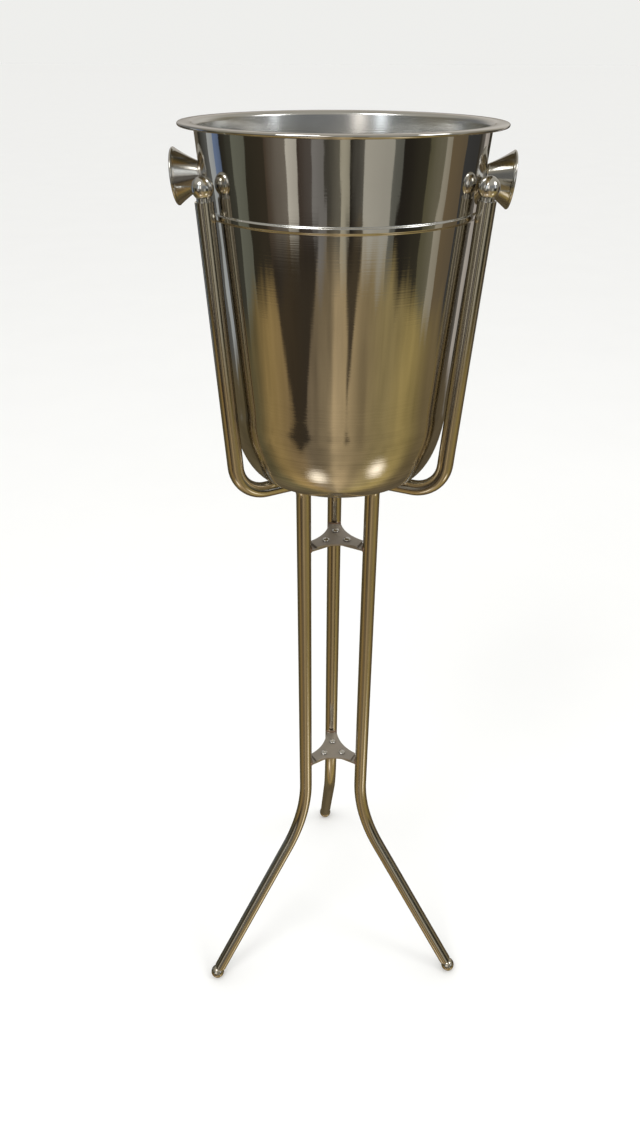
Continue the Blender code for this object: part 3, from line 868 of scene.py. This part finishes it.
FLOOR_TONES = [
    (-180, (0.10, 0.078, 0.045)), (-130, (0.12, 0.095, 0.052)), (-100, (0.12, 0.10, 0.05)),
    (-75, (0.31, 0.215, 0.085)), (-48, (0.23, 0.16, 0.078)), (-34, (0.19, 0.145, 0.09)),
    (-15, (0.24, 0.185, 0.11)), (-6, (0.46, 0.35, 0.20)), (5, (0.43, 0.325, 0.18)),
    (20, (0.27, 0.205, 0.11)), (42, (0.32, 0.25, 0.115)), (70, (0.36, 0.275, 0.105)),
    (98, (0.16, 0.12, 0.06)), (130, (0.11, 0.085, 0.05)), (180, (0.10, 0.078, 0.045)),
]
LAMP_TONES = [
    (-180, (0.50, 0.47, 0.43)), (-140, (0.20, 0.20, 0.20)), (-90, (0.22, 0.20, 0.155)),
    (-44, (0.20, 0.21, 0.21)), (-36, (1.7, 1.8, 1.9)), (-28, (0.34, 0.34, 0.33)),
    (-16, (1.6, 1.5, 1.4)), (-8, (0.24, 0.24, 0.24)), (30, (0.20, 0.205, 0.21)),
    (50, (0.34, 0.35, 0.35)), (56, (1.3, 1.35, 1.4)), (63, (0.30, 0.30, 0.30)),
    (110, (0.26, 0.235, 0.18)), (150, (0.60, 0.57, 0.52)), (180, (0.50, 0.47, 0.43)),
]
DARK_SCREENS = [(-44.0, 25.0, -0.60), (7.0, 8.5, -0.53)]  # middle and half width in degrees, lowest point
GLINTS = [(-0.29, -0.43, -0.86), (0.50, -0.42, -0.75)]  # directions
SCREEN_TONE = (0.028, 0.022, 0.016, 1.0)
GLINT_TONE = (1.7, 1.5, 1.2, 1.0)
CEILING_TONE = (0.42, 0.40, 0.35, 1.0)
PALE = (0.95, 0.95, 0.94, 1.0)
BACKDROP = (0.86, 0.86, 0.84, 1.0)
FLOOR_COLORS = [(0.93, 0.93, 0.92, 1.0), (0.96, 0.96, 0.95, 1.0)]

# Where one zone of the room passes into the next, as the upward part of the direction.
FLOOR_TO_BANDS = (-0.385, -0.335)
BANDS_TO_LAMPS = (0.00, 0.08)
LAMPS_TO_CEILING = (0.40, 0.62)
SCREEN_TOP = -0.30
SCREEN_EDGE = 0.006
SCREEN_STRENGTH = 0.88
GLINT_EDGES = (0.982, 0.9995)  # cosines of the angle from the glint's middle
BAND_BLUR = 0.22
WANDER = 0.030

FLOOR_SIZE = 60.0
LIGHT_AIM = Vector((0.0, 0.0, 0.4))
LIGHTS = [  # name, place, size and power
    ("key", (-0.9, -1.1, 2.3), 0.9, 12.0),
    ("fill", (1.4, -0.6, 1.9), 0.7, 6.0),
]


def turn_stops(tones):
    """Colour stops of a ramp that goes once round, from -180 to 180 degrees."""
    return [((degrees + 180) / 360, color) for degrees, color in tones]


def darken_screens(g, turn, up, room):
    """Dark screens in the room that reach down over the floor's tones and narrow to a point."""
    below = g.span(up, SCREEN_TOP - 0.04, SCREEN_TOP, 1.0, 0.0)
    for middle, half_width, lowest in DARK_SCREENS:
        away = g.math("ABSOLUTE", g.math("SUBTRACT", turn, (middle + 180) / 360))
        reach = g.span(up, lowest, SCREEN_TOP, 0.0, half_width / 360)
        inside = g.span(g.math("SUBTRACT", reach, away), 0.0, SCREEN_EDGE, 0.0, SCREEN_STRENGTH)
        room = g.mix(g.math("MULTIPLY", inside, below), room, SCREEN_TONE)
    return room


def add_glints(g, direction, room):
    """Small soft bright spots low in front, as lamps mirrored in a polished floor."""
    for spot in GLINTS:
        inputs = {0: direction, 1: Vector(spot).normalized()}
        facing = g.add("VectorMath", inputs, operation="DOT_PRODUCT").outputs["Value"]
        soft = g.math("POWER", g.span(facing, *GLINT_EDGES, 0.0, 1.0), 2.0)
        room = g.mix(soft, room, GLINT_TONE)
    return room


def band_tones(g, turn):
    """The upright bands, with edges that are mostly hard."""
    stops = turn_stops(BANDS)
    return g.mix(BAND_BLUR, g.ramp(turn, stops, "CONSTANT"), g.ramp(turn, stops, "EASE"))


def floor_tones(g, turn, up, direction):
    """The floor's tones, patchy, and brighter straight down."""
    patches = g.span(g.noise(direction, 3.5, 4.0, 0.6), 0.3, 0.7, 0.72, 1.25)
    brightness = g.math("MULTIPLY", patches, g.span(up, -0.95, -0.62, 1.45, 1.0))
    return g.scaled(g.ramp(turn, turn_stops(FLOOR_TONES), "EASE"), brightness)


def mirrored_room(g, direction):
    """The room that the steel reflects: floor, bands, lamps and ceiling, from the bottom up."""
    parts = g.add("SeparateXYZ", {0: direction})
    up = parts.outputs[2]
    azimuth = g.math("ARCTAN2", parts.outputs[1], parts.outputs[0])
    turn = g.math("FRACT", g.math("MULTIPLY_ADD", azimuth, 1 / (2 * math.pi), 0.75))
    wander = g.math("MULTIPLY_ADD", g.noise(direction, 7.0, 3.0), WANDER, -WANDER / 2)
    wavy_turn = g.math("ADD", turn, wander)
    edge = g.math("MULTIPLY_ADD", g.noise(direction, 5.0, 2.0), 0.14, g.math("ADD", up, -0.07))
    bands = band_tones(g, wavy_turn)
    floor = floor_tones(g, wavy_turn, up, direction)
    room = g.mix(g.span(edge, *FLOOR_TO_BANDS, 0.0, 1.0), floor, bands)
    room = darken_screens(g, wavy_turn, up, room)
    room = add_glints(g, direction, room)
    lamps = g.ramp(turn, turn_stops(LAMP_TONES), "EASE")
    room = g.mix(g.span(up, *BANDS_TO_LAMPS, 0.0, 1.0), room, lamps)
    return g.mix(g.span(up, *LAMPS_TO_CEILING, 0.0, 1.0), room, CEILING_TONE)


def build_world():
    """Pale all round for the camera and for soft light, and a room for the reflections, which bright
    steel needs in order to look like steel."""
    world = bpy.data.worlds.new("studio")
    bpy.context.scene.world = world
    world.use_nodes = True
    g = Graph(world.node_tree)
    room = mirrored_room(g, g.add("TexCoord").outputs["Generated"])
    rays = g.add("LightPath")
    color = g.mix(rays.outputs["Is Glossy Ray"], PALE, room)
    color = g.mix(rays.outputs["Is Camera Ray"], color, BACKDROP)
    g.finish(g.add("Background", {"Color": color, "Strength": 1.0}), "OutputWorld")


def build_floor():
    """A plain pale floor, which the steel doesn't mirror, because the room has a floor of its own."""
    bm = bmesh.new()
    bmesh.ops.create_grid(bm, x_segments=2, y_segments=2, size=FLOOR_SIZE)
    floor = bpy.data.objects.new("floor", to_mesh(bm, "floor"))
    bpy.context.scene.collection.objects.link(floor)
    material = bpy.data.materials.new("floor")
    material.use_nodes = True
    g = Graph(material.node_tree)
    shade = g.mix(g.noise(g.add("TexCoord").outputs["Object"], 4.0), *FLOOR_COLORS)
    g.finish(g.add("BsdfPrincipled", {"Base Color": shade, "Roughness": 0.9}))
    floor.data.materials.append(material)
    floor.visible_glossy = False


def build_light(name, place, size, power):
    """A round area light that points at the middle of the stand."""
    data = bpy.data.lights.new(name, "AREA")
    data.shape = "DISK"
    data.size = size
    data.energy = power
    light = bpy.data.objects.new(name, data)
    light.location = place
    light.rotation_euler = (AXIS + LIGHT_AIM - Vector(place)).to_track_quat("-Z", "Y").to_euler()
    bpy.context.scene.collection.objects.link(light)


def build_camera():
    """The photograph's viewpoint, from its place and its pitch, yaw and roll."""
    data = bpy.data.cameras.new("camera")
    data.lens = CAMERA_LENS
    data.sensor_width = 36.0
    camera = bpy.data.objects.new("camera", data)
    yaw = Matrix.Rotation(CAMERA_YAW, 3, "Z")
    pitch = Matrix.Rotation(math.pi / 2 + CAMERA_PITCH, 3, "X")
    roll = Matrix.Rotation(CAMERA_ROLL, 3, "Z")
    camera.matrix_world = Matrix.Translation(AXIS + CAMERA_FROM_AXIS) @ (yaw @ pitch @ roll).to_4x4()
    bpy.context.scene.collection.objects.link(camera)
    bpy.context.scene.camera = camera


def main():
    bpy.context.scene.view_settings.view_transform = "Standard"
    build_camera()
    materials = make_materials()
    build_hub(materials)
    build_legs(materials)
    build_bucket(materials)
    build_world()
    build_floor()
    for light in LIGHTS:
        build_light(*light)


main()
